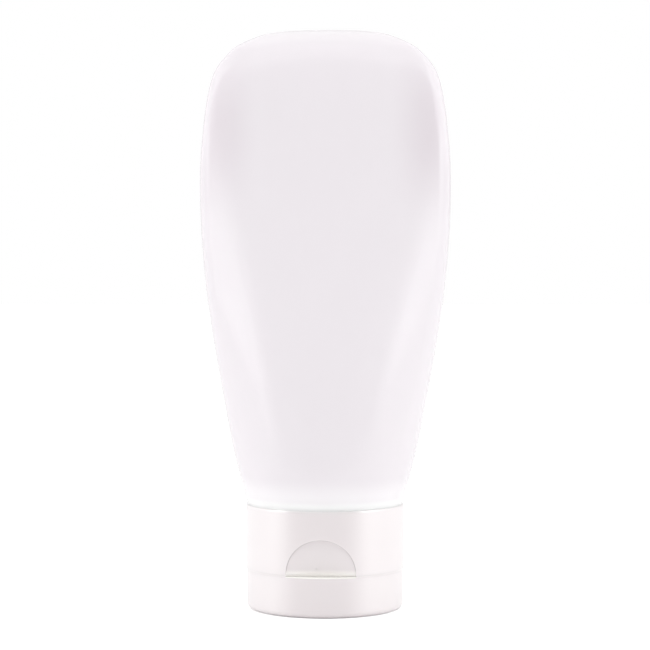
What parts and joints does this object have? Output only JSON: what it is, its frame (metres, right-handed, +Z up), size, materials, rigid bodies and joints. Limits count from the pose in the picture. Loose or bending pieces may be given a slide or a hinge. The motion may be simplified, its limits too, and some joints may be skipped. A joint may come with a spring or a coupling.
{
  "type": "squeeze bottle",
  "caption": "Soft translucent silicone travel bottle that stands upside down on a white screw cap with a flip-top lid, thumb recess, drip valve and living hinge.",
  "frame": {"origin": "centre of the flat end of the closed lid, on which the bottle stands", "axes": "+Z up from the lid through the cap to the crown of the body, -Y towards the thumb recess at the front, +Y towards the lid's hinge, +X to the right across the wide face of the body"},
  "size_m": [0.0562, 0.0366, 0.129],
  "materials": {
    "translucent_silicone": "frosted satin",
    "clear_silicone": "satin",
    "cap_plastic": "satin",
    "collar_plastic": "satin",
    "washer_foam": "matte"
  },
  "bodies": {
    "cap": {"cap_base": "cap_plastic", "drip_valve": "clear_silicone", "valve_retainer": "collar_plastic", "living_hinge": "cap_plastic"},
    "washer": {"sealing_washer": "washer_foam"},
    "bottle": {"bottle_body": "translucent_silicone", "neck_collar": "collar_plastic"},
    "lid": {"flip_lid": "cap_plastic"}
  },
  "joints": [
    {"name": "bottle_turn", "type": "hinge", "parent": "cap", "child": "washer", "pos_m": [0, 0, 0.01115], "axis": [0, 0, 1], "range_deg": [0, 1440]},
    {"name": "bottle_lift", "type": "slide", "parent": "washer", "child": "bottle", "axis": [0, 0, 1], "range_m": [0, 0.01275]},
    {"name": "lid_hinge", "type": "hinge", "parent": "cap", "child": "lid", "pos_m": [0, 0.0172, 0.00903], "axis": [1, 0, 0], "range_deg": [0, 180], "deforming": ["living_hinge"]}
  ],
  "couplings": [
    {"joint": "bottle_lift", "follows": "bottle_turn", "m_per_rad": 0.00050532}
  ]
}
